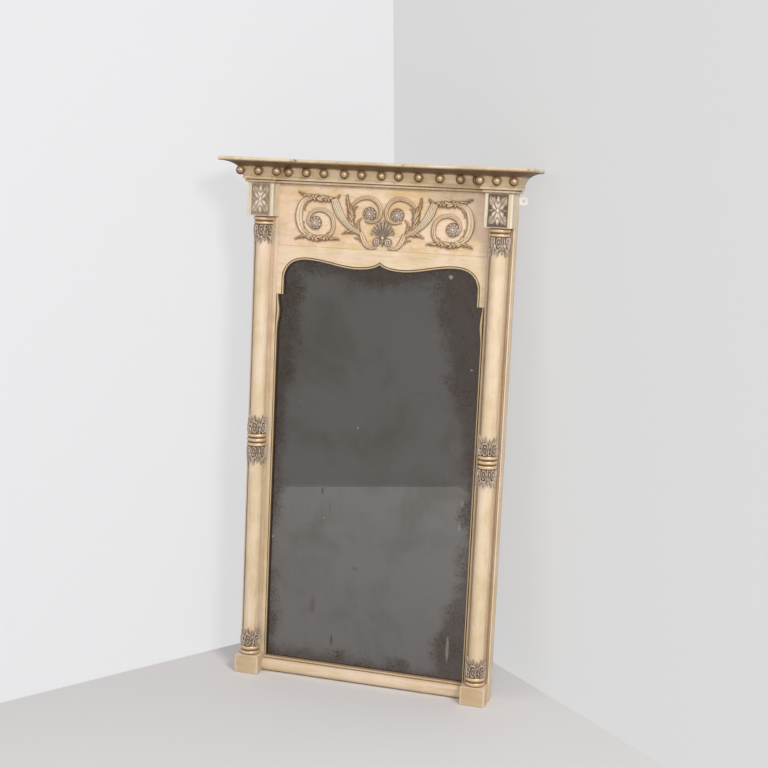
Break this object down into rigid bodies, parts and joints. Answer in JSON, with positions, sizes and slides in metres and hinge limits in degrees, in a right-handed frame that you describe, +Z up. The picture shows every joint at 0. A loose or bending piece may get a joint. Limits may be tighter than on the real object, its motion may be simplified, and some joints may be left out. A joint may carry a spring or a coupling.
{
  "type": "trumeau mirror",
  "caption": "Tall wall or pier mirror in a painted wood frame with turned side columns, leaf collars, a scrollwork frieze, an arched opening and a breakfront ball cornice.",
  "frame": {"origin": "on the floor, under the middle of the mirror's whole width and depth", "axes": "+X to the right seen from the front, -Y to the front (the glass and the carving face it), +Y to the flat back, +Z up"},
  "size_m": [0.708, 0.1366, 1.2],
  "materials": {
    "cream_paint": "worn cream and ochre paint over wood, rubbed along the edges, satin",
    "sight_gilt": "rubbed gilt and ochre paint on wood, low sheen",
    "dull_gilt": "dull bronze-gold gilding on wood, satin",
    "aged_carving": "silvery cream over dark brown in the hollows of the carving, satin",
    "frieze_carving": "cream and ochre paint over applied ornament, dark brown in the hollows",
    "raw_pine": "old unpainted pine, dry and darkened",
    "old_mirror": "old silvered glass, darkened and foxed towards the edges",
    "iron": "dark iron screw head",
    "white_paint": "white painted steel"
  },
  "bodies": {
    "root": {"left_stile": "cream_paint", "left_edge_moulding": "cream_paint", "left_sight_slip": "sight_gilt", "left_glazing_strip": "raw_pine", "left_base_block": "cream_paint", "left_column": "cream_paint", "left_base_leaves": "aged_carving", "left_mid_lower_leaves": "aged_carving", "left_mid_upper_leaves": "aged_carving", "left_capital_leaves": "aged_carving", "left_die_block": "cream_paint", "left_die_ornament": "aged_carving", "left_cornice_cove": "cream_paint", "left_cornice_ball_1": "dull_gilt", "left_cornice_ball_2": "dull_gilt", "left_cornice_ball_3": "dull_gilt", "left_scrollwork": "frieze_carving", "left_hanging_plate": "white_paint", "left_plate_screw": "iron", "right_stile": "cream_paint", "right_edge_moulding": "cream_paint", "right_sight_slip": "sight_gilt", "right_glazing_strip": "raw_pine", "right_base_block": "cream_paint", "right_column": "cream_paint", "right_base_leaves": "aged_carving", "right_mid_lower_leaves": "aged_carving", "right_mid_upper_leaves": "aged_carving", "right_capital_leaves": "aged_carving", "right_die_block": "cream_paint", "right_die_ornament": "aged_carving", "right_cornice_cove": "cream_paint", "right_cornice_ball_1": "dull_gilt", "right_cornice_ball_2": "dull_gilt", "right_cornice_ball_3": "dull_gilt", "right_scrollwork": "frieze_carving", "right_hanging_plate": "white_paint", "right_plate_screw": "iron", "frieze_board": "cream_paint", "arch_panel": "cream_paint", "arch_bead": "sight_gilt", "bottom_rail": "cream_paint", "top_rail": "raw_pine", "mirror_plate": "old_mirror", "backboard_left": "raw_pine", "backboard_right": "raw_pine", "centre_cornice_cove": "cream_paint", "cornice_board": "cream_paint", "anthemion": "aged_carving", "centre_cornice_ball_1": "dull_gilt", "centre_cornice_ball_2": "dull_gilt", "centre_cornice_ball_3": "dull_gilt", "centre_cornice_ball_4": "dull_gilt", "centre_cornice_ball_5": "dull_gilt", "centre_cornice_ball_6": "dull_gilt", "centre_cornice_ball_7": "dull_gilt", "centre_cornice_ball_8": "dull_gilt", "centre_cornice_ball_9": "dull_gilt", "centre_cornice_ball_10": "dull_gilt", "centre_cornice_ball_11": "dull_gilt"}
  },
  "joints": []
}
